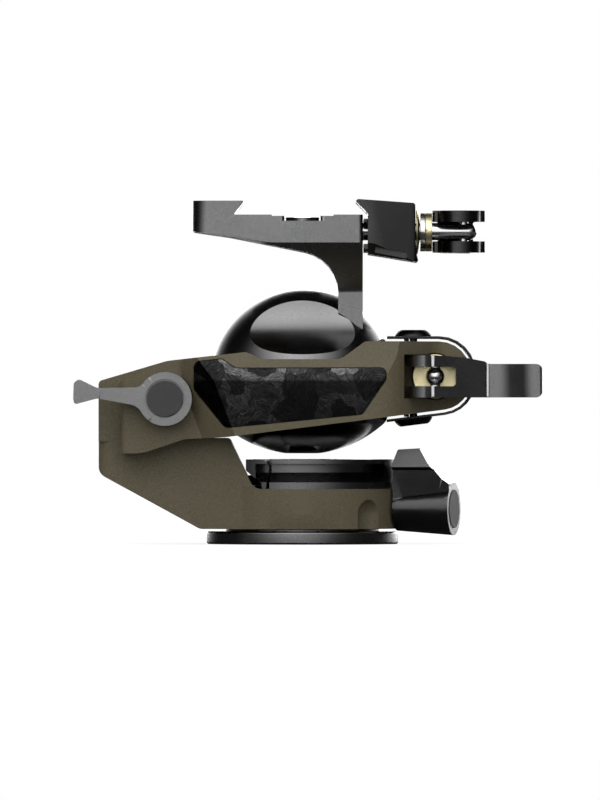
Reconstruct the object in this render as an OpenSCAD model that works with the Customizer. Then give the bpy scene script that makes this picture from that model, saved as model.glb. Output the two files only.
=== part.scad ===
// Ball head for a tripod: a split socket ring on a C-shaped body holds a large ball that carries
// a dovetail clamp. Origin: bottom centre of the pan base disc, on the pan axis. +Z is up, the
// tongue and levers of the ring point along +X, and the near side faces -Y.

/* [Pan base] */
// Radius of the base disc
base_r = 29; // [27:0.5:34]
// Thickness of the base disc
base_h = 3.8; // [3:0.1:5]
// Radius of the thrust washer under the body
thrust_r = 23.2; // [20:0.2:26]
// Thickness of each thrust washer
thrust_t = 0.8; // [0.5:0.1:1.2]
// Radius of the pan spindle
spindle_r = 11; // [9:0.5:13]
// Radius of the spindle nut
nut_r = 15.5; // [14:0.5:17]
// Outer radius of the tripod thread, 3/8 inch
thread_r = 4.76; // [3:0.01:6]

/* [Body] */
// Height of the base arm
arm_h = 12.1; // [11:0.1:16]
// Radius of the arm's round end, about the pan axis
arm_r = 29.5; // [28.5:0.5:34]
// Distance from the pan axis to the column's back face
column_back = 61.6; // [58:0.2:70]
// Half width of the column
column_half = 17; // [14:0.5:19]
// Half width of the cheeks that carry the friction lever
cheek_half = 26; // [24:0.5:30]
// Half width of the socket ring
ring_half = 36; // [35.5:0.5:40]
// Distance from the pan axis to the tip of the ring's tongue
tongue_tip = 50.8; // [48:0.2:56]
// Half width of the tongue
tongue_half = 15.5; // [13:0.5:18]
// Width of the slit in the tongue
slit_w = 3; // [2:0.2:4]
// Depth of the recess for each inlay
inlay_t = 1.6; // [1:0.1:2]

/* [Ball] */
// Radius of the ball
ball_r = 28; // [27:0.25:28.5]
// Height of the ball's centre
ball_z = 49.3; // [49:0.1:50.5]
// Wall left behind the scoop of the hollow ball
scoop_wall = 3.2; // [2.5:0.1:4]
// Distance from the ball's axis to the scoop's axis
scoop_off = 43.2; // [42.5:0.1:44.5]
// Radius of the scoop in the ball's shoulder
scoop_r = 20.1; // [19:0.1:21]
// Angle of the scoop above the horizontal
scoop_angle = 38.5; // [34:0.5:44]

/* [Clamp] */
// Height of the clamp deck above the floor
deck_z = 99.5; // [98:0.1:106]
// Half length of the clamp along its dovetail
clamp_half = 27; // [22:0.5:30]
// Width of the dovetail at its root, jaws closed on a plate
dovetail_w = 40.3; // [39:0.1:41]
// Height of the dovetail jaws above the deck
jaw_h = 4.2; // [3.5:0.1:5]
// Radius of the clamp stud and of the ring stud
stud_r = 2.65; // [2.2:0.05:3]
// Radius of the bubble level
level_r = 5.1; // [4:0.1:5.6]

/* [Levers] */
// Height of a cam lever's fork
fork_h = 12.7; // [11:0.1:14]
// Width of the slot in the fork
fork_slot = 5.9; // [5.8:0.1:6.4]
// Distance from a lever's pin to its washer
cam_r = 9.4; // [9:0.1:10]
// Length of a cam lever from its pin to its tip
lever_len = 32.3; // [30:0.1:40]
// Radius of the lever pins
pin_r = 1.5; // [1:0.1:2]
// Radius of the friction lever's hub
hub_r = 8.1; // [7.4:0.1:9]
// Reach of the friction lever from its hub
drag_reach = 27.6; // [24:0.2:34]
// Radius of the pan lock lever's barrel
barrel_r = 8; // [7:0.1:8.2]
// Height of the pan lock lever's thumb tab above its axis
tab_h = 18.9; // [16:0.1:22]

/* [Hidden] */

$fn = 72;
// Overrun of a cutting solid past the face that it opens
over = 1;
// Clearance of a turning or sliding fit
run = 0.05;
// Clearance between parts that must not touch
gap = 0.3;
// Clearance hidden in fixed seats
seat = 0.02;
// Segments of a rounded corner
corner_steps = 6;

olive = [0.34, 0.32, 0.25];
black = [0.13, 0.13, 0.14];
steel = [0.75, 0.75, 0.77];
brass = [0.80, 0.70, 0.42];

// One corner rounded by radius r: the points of its arc between the two sides
function unit(v) = v / norm(v);
function corner(a, b, c, r) =
    let (u = unit(a - b), w = unit(c - b), half = acos(min(1, max(-1, u * w))) / 2)
    let (reach = min(r / tan(half), norm(a - b) * 0.49, norm(c - b) * 0.49))
    let (m = unit(u + w), centre = b + m * reach / cos(half), radius = reach * tan(half))
    let (p = b + u * reach - centre, q = b + w * reach - centre)
    let (turn = acos(min(1, max(-1, (p * q) / (radius * radius)))))
    let (side = p.x * q.y - p.y * q.x > 0 ? 1 : -1)
    [for (i = [0 : corner_steps]) let (t = side * turn * i / corner_steps)
        centre + [p.x * cos(t) - p.y * sin(t), p.x * sin(t) + p.y * cos(t)]];
// An outline given as [x, y, corner radius]; a radius of 0 keeps the corner sharp
function rounded(points) = let (n = len(points))
    [for (i = [0 : n - 1])
        let (a = points[(i + n - 1) % n], b = points[i], c = points[(i + 1) % n])
        each (b[2] > 0 ? corner([a.x, a.y], [b.x, b.y], [c.x, c.y], b[2]) : [[b.x, b.y]])];

// A side outline in X and Z, made solid from y0 to y1
module side(points, y0, y1) {
    translate([0, y1, 0]) rotate([90, 0, 0]) linear_extrude(y1 - y0) polygon(rounded(points));
}
// A plan outline in X and Y, made solid from z0 to z1
module plan(points, z0, z1) {
    translate([0, 0, z0]) linear_extrude(z1 - z0) polygon(rounded(points));
}
// An outline in Y and Z, made solid from x0 to x1
module front(points, x0, x1) {
    translate([x0, 0, 0]) rotate([90, 0, 90]) linear_extrude(x1 - x0) polygon(rounded(points));
}
// A block between two corners
module block(low, high) {
    translate(low) cube(high - low);
}
// A round bar from one height to another
module bar(r, z0, z1) {
    translate([0, 0, z0]) cylinder(r = r, h = z1 - z0);
}
// A round bar along Y
module bar_y(r, y0, y1) {
    translate([0, y1, 0]) rotate([90, 0, 0]) cylinder(r = r, h = y1 - y0);
}
// A round bar along X
module bar_x(r, x0, x1) {
    translate([x0, 0, 0]) rotate([0, 90, 0]) cylinder(r = r, h = x1 - x0);
}

// Pan base: a disc with a threaded boss, and a hollow spindle screwed to it from below
arm_z0 = base_h + thrust_t + run;
arm_z1 = arm_z0 + arm_h;
boss_wall = 2.7;
boss_r = thread_r + boss_wall;
boss_top = arm_z0 + arm_h * 0.6;
base_chamfer = 0.4;
screw_r = 1.25;
screw_head_r = 2.3;
screw_head_t = 1.5;
bush_t = 1.5;
spindle_skirt = 2;
spindle_out = spindle_r + spindle_skirt;
screw_circle = (boss_r + spindle_out) / 2;
nut_t = 3.2;
nut_z0 = arm_z1 + thrust_t + 2 * run;
nut_step = 2.6;
nut_bore_r = spindle_out - nut_step;
nut_rim = 2.5;
nut_out = nut_r + nut_rim;
screw_end = arm_z0 + arm_h / 2;

module base_disc() {
    color(black) difference() {
        union() {
            rotate_extrude() polygon([[0, 0], [base_r - base_chamfer, 0], [base_r, base_chamfer],
                [base_r, base_h - base_chamfer], [base_r - base_chamfer, base_h], [0, base_h]]);
            bar(boss_r, 0, boss_top);
        }
        bar(thread_r, -over, boss_top + over);
        for (i = [0 : 3]) rotate(45 + 90 * i) translate([screw_circle, 0, 0]) {
            bar(screw_r + seat, -over, base_h + over);
            bar(screw_head_r + run, -over, screw_head_t + run);
        }
    }
}
module base_screws() {
    color(steel) for (i = [0 : 3]) rotate(45 + 90 * i) translate([screw_circle, 0, 0]) difference() {
        union() {
            bar(screw_r, 0.3 * screw_head_t, screw_end);
            bar(screw_head_r, 0.3 * screw_head_t, screw_head_t);
        }
        translate([0, 0, 0.3 * screw_head_t])
            cylinder(r = 0.6 * screw_head_r, h = screw_head_t, $fn = 6, center = true);
    }
}
module pan_spindle() {
    color(steel) difference() {
        union() {
            bar(spindle_out, base_h, nut_z0 - run);
            bar(nut_bore_r, base_h, nut_z0 + nut_t);
        }
        bar(boss_r + seat, base_h - over, boss_top + run);
        bar(thread_r + gap, base_h - over, nut_z0 + nut_t + over);
        for (i = [0 : 3]) rotate(45 + 90 * i) translate([screw_circle, 0, 0])
            bar(screw_r + seat, base_h - over, screw_end + gap);
    }
}
module lower_thrust_washer() {
    color(brass) difference() {
        bar(thrust_r, base_h, base_h + thrust_t);
        bar(spindle_out + gap, 0, arm_z1);
    }
}
module upper_thrust_washer() {
    color(brass) difference() {
        bar(nut_out - gap, arm_z1, arm_z1 + thrust_t);
        bar(spindle_out + gap, 0, nut_z0 + over);
    }
}
module spindle_nut() {
    color(steel) difference() {
        bar(nut_out, nut_z0, nut_z0 + nut_t);
        bar(nut_bore_r + seat, nut_z0 - over, nut_z0 + nut_t + over);
        for (a = [0, 180]) rotate(a) translate([nut_bore_r + (nut_out - nut_bore_r) / 2, 0, 0])
            bar(screw_r, nut_z0 - over, nut_z0 + nut_t + over);
    }
}
module pan_bushing() {
    color([0.85, 0.83, 0.76]) difference() {
        bar(spindle_out + bush_t, arm_z0, arm_z1 - run);
        bar(spindle_out + run, 0, arm_z1 + over);
        pan_lock_place() bar_x(shoe_r + gap, 0, arm_r);
    }
}

// Pan lock: a screw along the arm's middle pushes a brake shoe against the spindle
lock_turn = -15;
lock_z = arm_z0 + arm_h / 2;
lock_screw_r = 3;
shoe_r = 3.4;
shoe_t = 3;
shoe_x = spindle_out + gap;
barrel_x0 = arm_r + gap;
barrel_len = 17.6;
barrel_x1 = barrel_x0 + barrel_len;
barrel_root_r = barrel_r * 0.83;
cap_r = 5.8;
cap_t = 1;
cap_proud = 0.25;

module pan_lock_place() {
    rotate(lock_turn) translate([0, 0, lock_z]) children();
}
module brake_shoe() {
    color(brass) pan_lock_place() difference() {
        bar_x(shoe_r, shoe_x - bush_t, shoe_x + shoe_t);
        translate([0, 0, -lock_z]) bar(shoe_x, 0, arm_z1);
    }
}
module pan_lock_screw() {
    color(steel) pan_lock_place() {
        bar_x(lock_screw_r, shoe_x + shoe_t + run, barrel_x1 - cap_t - gap);
    }
}
// The lever's outline seen from the near side, as shares of the barrel's length and the tab's height
lever_side_share = [[0, -0.5, 0], [1, -0.5, 0], [1, 0.40, 0.06], [0.87, 0.48, 0.1], [0.66, 0.71, 0.1],
    [0.49, 0.97, 0.03], [0.11, 0.95, 0.03], [0.0, 0.68, 0.02]];
// The lever's outline seen along its screw, as shares of the tab's height
lever_end_share = [[-0.30, 0.0, 0], [-0.335, 0.63, 0.02], [-0.43, 0.66, 0.015], [-0.37, 1.0, 0.04],
    [-0.06, 1.0, 0.05], [0.06, 0.55, 0.3], [0.40, 0.14, 0], [0.0, -0.1, 0]];
module pan_lock_lever() {
    color(black) pan_lock_place() difference() {
        union() {
            translate([barrel_x0, 0, 0]) rotate([0, 90, 0])
                cylinder(r1 = barrel_root_r, r2 = barrel_r, h = barrel_len);
            intersection() {
                side([for (p = lever_side_share) [barrel_x0 + p.x * barrel_len, p.y * tab_h, p[2] * tab_h]],
                    -barrel_r * 1.5, barrel_r * 1.5);
                front([for (p = lever_end_share) [p.x * tab_h, p.y * tab_h, p[2] * tab_h]],
                    barrel_x0, barrel_x1);
            }
        }
        bar_x(lock_screw_r + seat, 0, barrel_x1 - cap_t - gap);
        bar_x(cap_r + seat, barrel_x1 - cap_t, barrel_x1 + over);
    }
}
module pan_lock_cap() {
    color([0.35, 0.35, 0.36]) pan_lock_place() bar_x(cap_r, barrel_x1 - cap_t, barrel_x1 + cap_proud);
}

// Pan housing: a black clamp ring over the spindle nut, scooped on both sides to show its screws
house_h = 9;
house_z1 = arm_z1 + house_h;
house_in = 0.6;
house_r = arm_r - house_in;
house_left = 17.1;
house_left_corner = 1;
cavity_room = 0.8;
cavity_r = nut_out + cavity_room;
cavity_z1 = nut_z0 + nut_t + 2 * gap;
rim_h = 2;
rim_in = 3.4;
shelf_z = cavity_z1 + gap;
flange_t = 1.4;
pocket_x0 = -14.2;
pocket_x1 = 24.8;
slit_x = -4.7;
slit_t = 0.9;
house_screw_r = 1.5;
house_head_r = 2.8;
house_head_t = 1.6;
house_screw_out = 2.6;
column_gap = 2.3;
house_screw_x = [-2.6, 17];
// Slope of the column's front face, and its reach from the pan axis at the arm's top and at its own top
column_top = 32.1;
column_low_x = -14.7;
column_top_x = -22;

module house_pocket() {
    rotate_extrude() polygon([[house_r + over, arm_z1 + rim_h], [house_r, arm_z1 + rim_h],
        [house_r - rim_in, shelf_z], [house_r - rim_in, house_z1 - flange_t],
        [house_r + over, house_z1 - flange_t]]);
}
module house_screw_places() {
    for (x = house_screw_x, s = [-1, 1])
        translate([x, s * sqrt(max(0, pow(cavity_r + house_screw_out, 2) - x * x)), 0]) children();
}
module pan_housing() {
    color(black) difference() {
        bar(house_r, arm_z1, house_z1);
        bar(cavity_r, arm_z1 - over, cavity_z1);
        intersection() {
            house_pocket();
            block([pocket_x0, -house_r - over, arm_z1], [pocket_x1, house_r + over, house_z1]);
        }
        // The left end stays clear of the column's slanting front
        side([[-house_r - over, arm_z1 - over, 0], [column_low_x + column_gap, arm_z1 - over, 0],
            [column_low_x + column_gap, arm_z1 + rim_h * 0.8, 0],
            [-house_left, arm_z1 + house_h * 0.62, house_left_corner],
            [-house_left, house_z1 + over, 0], [-house_r - over, house_z1 + over, 0]],
            -house_r - over, house_r + over);
        // The slit of the clamp
        translate([slit_x, 0, 0]) rotate(-12) block([-slit_t / 2, -house_r - over, arm_z1 - over],
            [slit_t / 2, 0, house_z1 + over]);
        house_screw_places() bar(house_screw_r + seat, arm_z1 - over, house_z1);
        house_screw_places() bar(house_head_r + run, shelf_z - house_head_t, house_z1 - flange_t);
        bar(thread_r + gap, arm_z1, house_z1 + over);
        // Dished to let the ball swing
        ball_place() sphere(r = ball_r + lip_gap);
    }
}
module housing_screws() {
    color(steel) house_screw_places() difference() {
        union() {
            bar(house_screw_r, arm_z1 - arm_h * 0.4, shelf_z);
            bar(house_head_r, shelf_z - house_head_t, shelf_z);
        }
        translate([0, 0, shelf_z - house_head_t / 2])
            cylinder(r = house_screw_r * 0.8, h = house_head_t, $fn = 6);
    }
}

// Body: one olive casting. The arm holds the pan spindle, the column rises behind, and the socket
// ring reaches forward from it to the split tongue.
ring_under = 14;
ring_slope_share = 0.125;
ring_edge = 0.6;
ring_root_x = 23.4;
ring_root_corner = 3;
web_x = 35.5;
web_corner = 4;
web_foot_x = 47.2;
web_foot_up = 0.4;
heel_x = 49.7;
heel_corner = 2;
scoop_floor = 6.6;
tongue_up = 12;
rear_top = 6.1;
back_corner = 1.4;
heel_round = 3.5;
column_corner = 4;
arm_blend = 12;
arm_round = 20;
column_rear_low = 21.4;
arm_low_x = -31;
column_fillet = 3.5;
flex_slit = -0.3;
flex_x = -34.5;
rear_slot_w = 2;
rear_slot_x = -51;
cheek_x = -54.7;
cheek_low = -21.8;
liner_t = 2.6;
liner_up = 6;
liner_down = 7.5;
liner_out = ball_r + liner_t;
lip_gap = 0.5;
lip_up = 7.6;
lip_flare = 4.2;
bevel_z = ball_z + 0.2;
bevel_in = 3;
left_cut_x = -26.7;
left_cut_lean = 21;
left_cut_run = 9.5;
right_cut_x = 27;
right_cut_end = 40.5;
cheek_corner = 2;
shoulder_corner = 10;
tongue_root = 6;
tip_corner = 3;
tongue_corner = 11;
tongue_low_corner = 9;
arm_chamfer = 1.8;
arm_chamfer_h = 4.9;
notch_r = 4.4;
notch_x = 20.6;
notch_h = 8.9;
stud_x = 40;
stud_z = ball_z + 1.4;
dish_r = 6.8;
dish_seat = 1;
drag_x = -41.45;
drag_z = ball_z - 5.4;
drag_bolt_r = 3;
strap_screw_r = 1.15;
strap_screw_x = 33.6;
strap_screw_y = 6.4;
strap_peg_x = 31.5;
strap_peg_r = 0.75;
strap_screw_depth = 7;
peg_depth = 1.6;

function under(x) = ball_z - ring_under + ring_slope_share * x;
tongue_top = ball_z + tongue_up;
// The line along the top of the body, from the column's back to the scoop
rear_line_share = [[-1.464, 1, 0.4], [-0.607, 1.43, 0.07]];
// The top of the ring over the ball and the tongue, as shares of the ball's radius
scoop_line_share = [[-0.43, 0.10], [0.41, 0.20], [0.675, 0.09]];
rear_points = [for (p = rear_line_share) [p.x * ball_r, ball_z + p.y * rear_top, p[2] * ball_r]];

module ring_side(inset) {
    side([[cheek_x + inset, ball_z, 0], rear_points[0], rear_points[1],
        [scoop_line_share[0].x * ball_r, ball_z + scoop_floor, scoop_line_share[0].y * ball_r],
        [scoop_line_share[1].x * ball_r, ball_z + scoop_floor, scoop_line_share[1].y * ball_r],
        [scoop_line_share[2].x * ball_r, tongue_top, scoop_line_share[2].y * ball_r],
        [tongue_tip, tongue_top, tongue_corner], [tongue_tip, under(tongue_tip), tongue_low_corner],
        [-ring_root_x, under(-ring_root_x), ring_root_corner],
        [-web_x, column_top + flex_slit, web_corner],
        [-web_foot_x, ball_z + cheek_low + web_foot_up, web_corner],
        [-heel_x, ball_z + cheek_low, heel_corner], [cheek_x + inset, ball_z + cheek_low, ring_edge]],
        -ring_half - over, ring_half + over);
}
// The ring with its cheeks, its sides drawn in by inset; the inlays are slices of its skin
module ring_shape(inset) {
    half = ring_half - inset;
    cheek = cheek_half - inset;
    intersection() {
        ring_side(inset);
        difference() {
            plan([[cheek_x, -cheek, cheek_corner], [left_cut_x - left_cut_run, -cheek, 0],
                [left_cut_x - left_cut_run, -half, 0], [right_cut_x - inset / 2, -half, shoulder_corner],
                [right_cut_end - inset / 2, -tongue_half, tongue_root],
                [tongue_tip, -tongue_half, tip_corner], [tongue_tip, tongue_half, tip_corner],
                [right_cut_end - inset / 2, tongue_half, tongue_root],
                [right_cut_x - inset / 2, half, shoulder_corner], [left_cut_x - left_cut_run, half, 0],
                [left_cut_x - left_cut_run, cheek, 0], [cheek_x, cheek, cheek_corner]],
                arm_z1, house_z1 + ball_z);
            for (s = [0, 1]) mirror([0, s, 0]) {
                translate([left_cut_x, -half, bevel_z]) rotate([0, -left_cut_lean, 0])
                    translate([0, 0, -ball_r * 2]) linear_extrude(ball_r * 4) polygon([[0, 0],
                    [-left_cut_run, half - cheek], [-left_cut_run * 3, half - cheek],
                    [-left_cut_run * 3, -over], [0, -over]]);
                front([[-half, bevel_z, 0], [-half - over, bevel_z, 0], [-half - over, ball_z + ball_r, 0],
                    [-half + bevel_in * 2, ball_z + ball_r, 0],
                    [-half + bevel_in, bevel_z + lip_up + over, 0]], -ball_r * 2, ball_r * 2);
            }
        }
    }
}
module column_shape() {
    intersection() {
        side([[-column_back, ball_z, back_corner], rear_points[0],
            [flex_x, ball_z + rear_top * 1.12, 0], [flex_x, column_top, 0],
            [column_top_x, column_top, back_corner], [column_low_x, arm_z1, column_fillet],
            [arm_r, arm_z1, ring_edge], [arm_r, arm_z0, ring_edge], [arm_low_x, arm_z0, heel_round],
            [-column_back, column_rear_low, heel_round]], -arm_r - over, arm_r + over);
        union() {
            bar(arm_r, 0, arm_z1 + over);
            plan([[-column_back, -column_half, column_corner], [-arm_r * 1.2, -column_half, arm_blend],
                [0, -arm_r, arm_round], [0, arm_r, arm_round], [-arm_r * 1.2, column_half, arm_blend],
                [-column_back, column_half, column_corner]], 0, column_top + over);
            block([-column_back - over, -column_half, column_top - over], [0, column_half, ball_z + ball_r]);
        }
    }
}
// The inlay's outline, as shares of the ball's radius
inlay_share = [[-1.164, 0.204, 0.07], [-0.868, 0.236, 0.05], [-0.721, 0.136, 0.14], [0.893, 0.139, 0.06],
    [0.897, 0.02, 0.055], [0.64, -0.354, 0.045], [-0.83, -0.5, 0.057], [-1.164, -0.09, 0.045]];
inlay_gap = 0.25;
module inlay_outline(grow) {
    translate([0, 0, ball_z]) rotate([90, 0, 0]) linear_extrude(ring_half * 2 + 2 * over, center = true)
        offset_outline([for (p = inlay_share) [p.x * ball_r, p.y * ball_r, p[2] * ball_r]], grow);
}
// An outline whose sides all move out by grow, corners kept round
function shifted(points, grow) = let (n = len(points)) [for (i = [0 : n - 1])
    let (a = points[(i + n - 1) % n], b = points[i], c = points[(i + 1) % n])
    let (u = unit([b.x - a.x, b.y - a.y]), w = unit([c.x - b.x, c.y - b.y]))
    let (m = unit([-u.y - w.y, u.x + w.x]), k = grow / (m * [-u.y, u.x]))
    [b.x + m.x * k, b.y + m.y * k, b[2] + grow]];
module offset_outline(points, grow) {
    polygon(rounded(shifted(points, grow)));
}
module casting() {
    difference() {
        union() {
            column_shape();
            ring_shape(0);
        }
        // Socket for the liner, and the lip above it
        translate([0, 0, ball_z]) sphere(r = ball_r + lip_gap);
        bar(liner_out + run, column_top, ball_z + liner_up + run);
        translate([0, 0, ball_z + lip_up])
            cylinder(r1 = ball_r - ring_edge, r2 = ball_r + lip_flare, h = lip_up);
        // The slit of the tongue and the slot between the cheeks
        block([0, -slit_w / 2, arm_z1 + house_h], [tongue_tip + over, slit_w / 2, ball_z + ball_r]);
        block([rear_slot_x, -rear_slot_w / 2, column_top], [0, rear_slot_w / 2, ball_z + ball_r]);
        // Inlay recesses
        difference() {
            inlay_outline(inlay_gap);
            ring_shape(inlay_t);
        }
        // Pan spindle with its nut, pan lock and housing screws
        bar(spindle_out + bush_t + seat, 0, arm_z1 + over);
        bar(nut_out + gap, arm_z1, house_z1);
        pan_lock_place() {
            bar_x(lock_screw_r + run, shoe_x, arm_r + over);
            bar_x(shoe_r + run, shoe_x - bush_t, shoe_x + shoe_t + 3 * run);
        }
        house_screw_places() bar(house_screw_r + seat, arm_z1 - arm_h * 0.42, arm_z1 + over);
        // Finger notch beside the pan lock, and the chamfer under the arm's sides
        for (s = [-1, 1])
            translate([notch_x, s * (sqrt(arm_r * arm_r - notch_x * notch_x) + notch_r * 0.3), 0]) {
            bar(notch_r, 0, arm_z0 + notch_h - notch_r);
            translate([0, 0, arm_z0 + notch_h - notch_r]) sphere(r = notch_r);
        }
        for (s = [0, 1]) mirror([0, s, 0]) front([[-arm_r, arm_z0 + arm_chamfer_h, 0],
            [-arm_r - over, arm_z0 + arm_chamfer_h, 0], [-arm_r - over, 0, 0],
            [-arm_r + arm_chamfer * 2, arm_z0 - arm_chamfer_h, 0]], -arm_r, arm_r);
        // Ring stud with its washer seat and nut pocket, drag bolt
        translate([stud_x, 0, stud_z]) {
            bar_y(stud_r + run, -ring_half, ring_half);
            bar_y(dish_r + gap, -ring_half, -tongue_half + dish_seat);
            bar_y(dish_r + gap, tongue_half - dish_seat, ring_half);
        }
        translate([drag_x, 0, drag_z]) bar_y(drag_bolt_r + run, -ring_half, ring_half);
        // Room for the friction lever's hub and its nut
        translate([drag_x, 0, drag_z]) {
            bar_y(hub_r + gap, -ring_half - over, -cheek_half);
            bar_y(hub_r + gap, cheek_half, ring_half + over);
        }
        // Relief round the ring lever's head
        translate([stud_x, -ring_pin_y, 0])
            bar(cam_r + 2 * gap, stud_z - fork_h / 2 - gap, stud_z + fork_h / 2 + gap);
        for (s = [-1, 1]) {
            translate([strap_screw_x, s * strap_screw_y, 0]) {
                bar(strap_screw_r + seat, tongue_top - strap_screw_depth, tongue_top + over);
                bar(strap_screw_r + seat, under(strap_screw_x) - over,
                     under(strap_screw_x) + strap_screw_depth);
            }
            translate([strap_peg_x, s * strap_screw_y, 0]) {
                bar(strap_peg_r + seat, tongue_top - peg_depth, tongue_top + over);
                bar(strap_peg_r + seat, under(strap_peg_x) - over, under(strap_peg_x) + peg_depth);
            }
        }
    }
}
// The casting is kept as three nodes, which meet at the arm's top, under the ring and where the cheeks
// step out
cheek_end_x = -37.2;
// How far the cut stays off the column's own faces
cut_up = 0.4;
module below_ring() {
    block([-column_back - over, -ring_half, arm_z0 - over],
        [cheek_x - cut_up, ring_half, ball_z + ball_r]);
    block([-column_back, -column_half - cut_up, arm_z0 - over],
        [arm_r + over, column_half + cut_up, column_top]);
    block([cheek_end_x, -arm_r - over, arm_z0 - over], [arm_r + over, arm_r + over, column_top + cut_up]);
}
module arm_part() {
    block([-column_back - over, -ring_half, arm_z0 - over], [arm_r + over, ring_half, arm_z1 - cut_up]);
    block([column_low_x + cut_up, -ring_half, arm_z0 - over],
        [arm_r + over, ring_half, column_top + over]);
}
module base_arm() {
    color(olive) intersection() {
        casting();
        below_ring();
        arm_part();
    }
}
module rear_column() {
    color(olive) difference() {
        intersection() {
            casting();
            below_ring();
        }
        arm_part();
    }
}
module socket_ring() {
    color(olive) difference() {
        casting();
        below_ring();
    }
}
module inlay_shape() {
    color([0.1, 0.1, 0.1]) intersection() {
        inlay_outline(0);
        difference() {
            ring_shape(0);
            ring_shape(inlay_t - seat);
        }
    }
}
module near_inlay() {
    intersection() {
        inlay_shape();
        block([-column_back, -ring_half - over, 0], [tongue_tip, 0, ball_z + ball_r]);
    }
}
module far_inlay() {
    mirror([0, 1, 0]) near_inlay();
}

// Socket: a slit liner that the ball turns in, and the threaded ring that keeps it in the body
liner_slit = 1;
retainer_t = 2.2;
ball_gap = 0.3;
retainer_in = sqrt(pow(ball_r, 2) - pow(liner_down + gap, 2)) + lip_gap;
module ball_place() {
    translate([0, 0, ball_z]) children();
}
module socket_liner() {
    color([0.2, 0.2, 0.2]) ball_place() difference() {
        bar(liner_out, -liner_down, liner_up);
        sphere(r = ball_r + ball_gap);
        block([0, -liner_slit / 2, -liner_down - over], [liner_out + over, liner_slit / 2, liner_up + over]);
    }
}
module liner_retainer() {
    color(black) ball_place() difference() {
        bar(liner_out, -liner_down - gap - retainer_t, -liner_down - gap);
        bar(retainer_in, -ball_r, ball_r);
        for (a = [45 : 90 : 315]) rotate(a) translate([(retainer_in + liner_out) / 2, 0, 0])
            bar(screw_r * 0.7, -ball_r, ball_r);
    }
}

// Ball: hollow, scooped on both shoulders, closed below by a flatter cap held by a centre bolt
hollow_r = scoop_off - scoop_r - scoop_wall;
crown_flat = 0.3;
cap_cut = 12.5;
cap_dome_r = 37.2;
cap_low = 22.2;
cap_dome_up = cap_dome_r - cap_low;
cap_wall = 3.5;
spigot_r = 15;
spigot_h = 2;
bolt_r = 3;
bolt_head_r = 5;
bolt_head_t = 2.5;
bolt_deep = 1.6;
bolt_top = 21;
post_r = 6.5;
post_low = 4;
neck_out = 18.2;
neck_t = 7.4;
neck_screw_r = 1.5;
neck_screw_head_r = 2.8;
neck_screw_x = neck_out - neck_t / 2;
neck_screw_y = 8.5;
neck_screw_low = 14;
neck_screw_top = 33;

module ball_hollow() {
    difference() {
        sphere(r = hollow_r);
        bar(post_r, post_low, ball_r);
    }
}
module neck_screw_places() {
    for (s = [-1, 1]) translate([neck_screw_x, s * neck_screw_y, 0]) children();
}
module ball() {
    color(black) ball_place() difference() {
        sphere(r = ball_r);
        ball_hollow();
        bar(ball_r, ball_r - crown_flat, ball_r + over);
        bar(ball_r + over, -ball_r - over, -cap_cut);
        bar(spigot_r + seat, -ball_r, -cap_cut + spigot_h + seat);
        for (s = [0, 1]) mirror([0, s, 0]) rotate([-scoop_angle, 0, 0]) translate([0, -scoop_off, 0])
            bar_x(scoop_r, -ball_r, ball_r);
        bar(bolt_r + run, 0, bolt_top + gap);
        neck_screw_places() {
            bar(neck_screw_r + seat, 0, ball_r);
            bar(neck_screw_head_r + run, 0, neck_screw_low + neck_screw_r);
        }
    }
}
module ball_cap() {
    color(black) ball_place() difference() {
        union() {
            intersection() {
                translate([0, 0, cap_dome_up]) sphere(r = cap_dome_r);
                bar(ball_r, -ball_r - over, -cap_cut);
            }
            bar(spigot_r, -cap_cut - over, -cap_cut + spigot_h);
        }
        intersection() {
            translate([0, 0, cap_dome_up]) sphere(r = cap_dome_r - cap_wall);
            difference() {
                bar(spigot_r - cap_wall, -ball_r, ball_r);
                bar(post_r, -ball_r, ball_r);
            }
        }
        bar(bolt_r + run, -ball_r, ball_r);
        bar(bolt_head_r + run, -ball_r, -cap_low + bolt_deep + bolt_head_t + run);
    }
}
module ball_bolt() {
    color(steel) ball_place() difference() {
        union() {
            bar(bolt_r, -cap_low + bolt_deep, bolt_top);
            bar(bolt_head_r, -cap_low + bolt_deep, -cap_low + bolt_deep + bolt_head_t);
        }
        translate([0, 0, -cap_low])
            cylinder(r = bolt_r * 0.85, h = bolt_deep + bolt_head_t * 0.7, $fn = 6);
    }
}
module neck_screws() {
    color(steel) ball_place() neck_screw_places() difference() {
        union() {
            bar(neck_screw_r, neck_screw_low - neck_screw_r, neck_screw_top - over);
            bar(neck_screw_head_r, neck_screw_low - neck_screw_r, neck_screw_low + neck_screw_r);
        }
        translate([0, 0, neck_screw_low - 2 * neck_screw_r])
            cylinder(r = neck_screw_r * 0.8, h = 2 * neck_screw_r, $fn = 6);
    }
}

// Clamp plate: neck, deck and fixed jaw in one piece
plate_left = 33.2;
plate_t = 8.4;
plate_left_t = 5;
plate_bend_x = -9.5;
keel_drop = 4.8;
keel_left_drop = 0.4;
neck_arc = 13;
neck_foot_z = 65;
neck_top_in = 2;
neck_top_half = clamp_half - neck_top_in;
neck_half = 15.5;
neck_flare_z = 77;
plate_corner = 5;
neck_corner = 1.3;
dovetail_in = 2.9;
jaw_lip = 0.4;
pad_half = 9.25;
pad_step = 0.4;
channel_half = 5.4;
channel_flare = 1.2;
channel_d = 1.9;
level_deep = 2.6;
level_dome = 1.2;
level_low = 0.6;
level_glass_r = level_r - 1;
jaw_gap = 1.5;
jaw_x = neck_out + jaw_gap;
stud_drop = 4.9;
clamp_stud_z = deck_z - stud_drop;
stud_in = 8;
pin_guide_r = 1.6;
pin_guide_y = 17;
pin_guide_in = 9;
pin_guide_out = 11;
spring_r = 2.5;
spring_t = 0.6;
spring_in = 5;
edge_round = 0.3;
root_round = 0.2;
bend_round = 2;
neck_round = 3;
plate_root_x = jaw_x - root_round - dovetail_w;

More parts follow.
